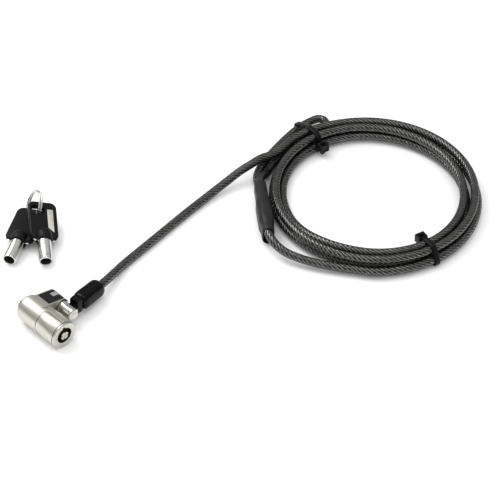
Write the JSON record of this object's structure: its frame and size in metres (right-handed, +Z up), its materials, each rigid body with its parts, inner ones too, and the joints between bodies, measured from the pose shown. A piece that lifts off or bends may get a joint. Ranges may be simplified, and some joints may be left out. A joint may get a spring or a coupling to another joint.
{
  "type": "laptop cable lock",
  "caption": "Keyed laptop cable lock: swivelling barrel lock head with side arm and slot nose, coiled vinyl-covered wire rope with end loop, cable ties, and tubular keys on a split ring.",
  "frame": {"origin": "middle of the laid-out set on the table, at table height (bounding-box bottom centre)", "axes": "+Z up from the table; the lock barrel lies along Y with its key face towards -Y and its slot nose towards +Y; the cable leaves the lock towards +X"},
  "size_m": [0.2482, 0.1772, 0.0169],
  "materials": {
    "satin_nickel": "satin nickel plate on die-cast zinc",
    "polished_chrome": "polished",
    "steel": "bright turned steel",
    "brass": "machined",
    "black_plastic": "moulded nylon",
    "gloss_black_plastic": "glossy",
    "rubber": "matte",
    "smoke_vinyl": "smoke-tinted clear vinyl",
    "wire_rope": "stranded galvanised wire",
    "aluminium": "pressed",
    "silver_label": "silver film"
  },
  "bodies": {
    "cable_assembly": {"cable_jacket": "smoke_vinyl", "wire_rope_core": "wire_rope", "strain_boot": "gloss_black_plastic", "cable_fork": "black_plastic", "crimp_ferrule": "aluminium", "shrink_sleeve": "rubber", "tie_eye_end": "black_plastic", "tie_coil": "black_plastic"},
    "knuckle": {"swivel_knuckle": "polished_chrome", "pivot_pin": "steel"},
    "lock_head": {"lock_housing": "satin_nickel", "retaining_dowel": "steel", "arm_label": "black_plastic", "front_sleeve": "satin_nickel", "front_bezel": "satin_nickel", "core_shell": "brass", "driver_block": "brass", "nose_guard": "steel", "nose_washer": "rubber", "pin_spring_1": "steel", "pin_spring_2": "steel", "pin_spring_3": "steel", "pin_spring_4": "steel", "pin_spring_5": "steel", "pin_spring_6": "steel", "pin_spring_7": "steel"},
    "plug": {"lock_plug": "brass", "centre_post": "polished_chrome", "t_bar_spindle": "steel"},
    "key_pin_1": {"key_pin_1": "brass"},
    "key_pin_2": {"key_pin_2": "brass"},
    "key_pin_3": {"key_pin_3": "brass"},
    "key_pin_4": {"key_pin_4": "brass"},
    "key_pin_5": {"key_pin_5": "brass"},
    "key_pin_6": {"key_pin_6": "brass"},
    "key_pin_7": {"key_pin_7": "brass"},
    "driver_pin_1": {"driver_pin_1": "steel"},
    "driver_pin_2": {"driver_pin_2": "steel"},
    "driver_pin_3": {"driver_pin_3": "steel"},
    "driver_pin_4": {"driver_pin_4": "steel"},
    "driver_pin_5": {"driver_pin_5": "steel"},
    "driver_pin_6": {"driver_pin_6": "steel"},
    "driver_pin_7": {"driver_pin_7": "steel"},
    "ring": {"split_ring": "steel"},
    "key_a": {"key_a_tube": "steel", "key_a_bow": "black_plastic", "key_a_plate_right": "steel", "key_a_plate_left": "steel", "key_a_label": "silver_label"},
    "key_b": {"key_b_tube": "steel", "key_b_bow": "black_plastic", "key_b_plate_right": "steel", "key_b_plate_left": "steel", "key_b_label": "silver_label"}
  },
  "joints": [
    {"name": "fork_pivot", "type": "hinge", "parent": "cable_assembly", "child": "knuckle", "pos_m": [-0.10495, 0.01026, 0.00723], "axis": [0.0732, 0, 0.9973], "range_deg": [-12, 30]},
    {"name": "head_swivel", "type": "hinge", "parent": "knuckle", "child": "lock_head", "pos_m": [-0.10495, 0.01026, 0.00723], "axis": [0, 1, 0], "range_deg": [-95, 120]},
    {"name": "plug_turn", "type": "hinge", "parent": "lock_head", "child": "plug", "pos_m": [-0.11714, 0.01226, 0.007], "axis": [0, 1, 0], "range_deg": [0, 90]},
    {"name": "key_pin_1_slide", "type": "slide", "parent": "plug", "child": "key_pin_1", "axis": [0, -1, 0], "range_m": [0, 0.00138]},
    {"name": "driver_pin_1_slide", "type": "slide", "parent": "lock_head", "child": "driver_pin_1", "axis": [0, -1, 0], "range_m": [0, 0.00138]},
    {"name": "key_pin_2_slide", "type": "slide", "parent": "plug", "child": "key_pin_2", "axis": [0, -1, 0], "range_m": [0, 0.000982]},
    {"name": "driver_pin_2_slide", "type": "slide", "parent": "lock_head", "child": "driver_pin_2", "axis": [0, -1, 0], "range_m": [0, 0.000982]},
    {"name": "key_pin_3_slide", "type": "slide", "parent": "plug", "child": "key_pin_3", "axis": [0, -1, 0], "range_m": [0, 0.00158]},
    {"name": "driver_pin_3_slide", "type": "slide", "parent": "lock_head", "child": "driver_pin_3", "axis": [0, -1, 0], "range_m": [0, 0.00158]},
    {"name": "key_pin_4_slide", "type": "slide", "parent": "plug", "child": "key_pin_4", "axis": [0, -1, 0], "range_m": [0, 0.00128]},
    {"name": "driver_pin_4_slide", "type": "slide", "parent": "lock_head", "child": "driver_pin_4", "axis": [0, -1, 0], "range_m": [0, 0.00128]},
    {"name": "key_pin_5_slide", "type": "slide", "parent": "plug", "child": "key_pin_5", "axis": [0, -1, 0], "range_m": [0, 0.00138]},
    {"name": "driver_pin_5_slide", "type": "slide", "parent": "lock_head", "child": "driver_pin_5", "axis": [0, -1, 0], "range_m": [0, 0.00138]},
    {"name": "key_pin_6_slide", "type": "slide", "parent": "plug", "child": "key_pin_6", "axis": [0, -1, 0], "range_m": [0, 0.00188]},
    {"name": "driver_pin_6_slide", "type": "slide", "parent": "lock_head", "child": "driver_pin_6", "axis": [0, -1, 0], "range_m": [0, 0.00188]},
    {"name": "key_pin_7_slide", "type": "slide", "parent": "plug", "child": "key_pin_7", "axis": [0, -1, 0], "range_m": [0, 0.00158]},
    {"name": "driver_pin_7_slide", "type": "slide", "parent": "lock_head", "child": "driver_pin_7", "axis": [0, -1, 0], "range_m": [0, 0.00158]},
    {"name": "keys_lift", "type": "slide", "parent": "cable_assembly", "child": "ring", "axis": [0, 0, 1], "range_m": [0, 0.06]},
    {"name": "key_a_swing", "type": "hinge", "parent": "ring", "child": "key_a", "pos_m": [-0.0718, 0.07475, 0.01088], "axis": [0.1295, -0.3451, 0.9296], "range_deg": [0, 45]},
    {"name": "key_b_swing", "type": "hinge", "parent": "ring", "child": "key_b", "pos_m": [-0.07277, 0.07625, 0.0056], "axis": [-0.0459, -0.0287, 0.9985], "range_deg": [-45, 0]}
  ],
  "couplings": [
    {"joint": "key_pin_1_slide", "follows": "key_pin_6_slide", "ratio": 0.73404},
    {"joint": "driver_pin_1_slide", "follows": "key_pin_6_slide", "ratio": 0.73404},
    {"joint": "key_pin_2_slide", "follows": "key_pin_6_slide", "ratio": 0.52128},
    {"joint": "driver_pin_2_slide", "follows": "key_pin_6_slide", "ratio": 0.52128},
    {"joint": "key_pin_3_slide", "follows": "key_pin_6_slide", "ratio": 0.84043},
    {"joint": "driver_pin_3_slide", "follows": "key_pin_6_slide", "ratio": 0.84043},
    {"joint": "key_pin_4_slide", "follows": "key_pin_6_slide", "ratio": 0.68085},
    {"joint": "driver_pin_4_slide", "follows": "key_pin_6_slide", "ratio": 0.68085},
    {"joint": "key_pin_5_slide", "follows": "key_pin_6_slide", "ratio": 0.73404},
    {"joint": "driver_pin_5_slide", "follows": "key_pin_6_slide", "ratio": 0.73404},
    {"joint": "driver_pin_6_slide", "follows": "key_pin_6_slide", "ratio": 1},
    {"joint": "key_pin_7_slide", "follows": "key_pin_6_slide", "ratio": 0.84043},
    {"joint": "driver_pin_7_slide", "follows": "key_pin_6_slide", "ratio": 0.84043}
  ]
}
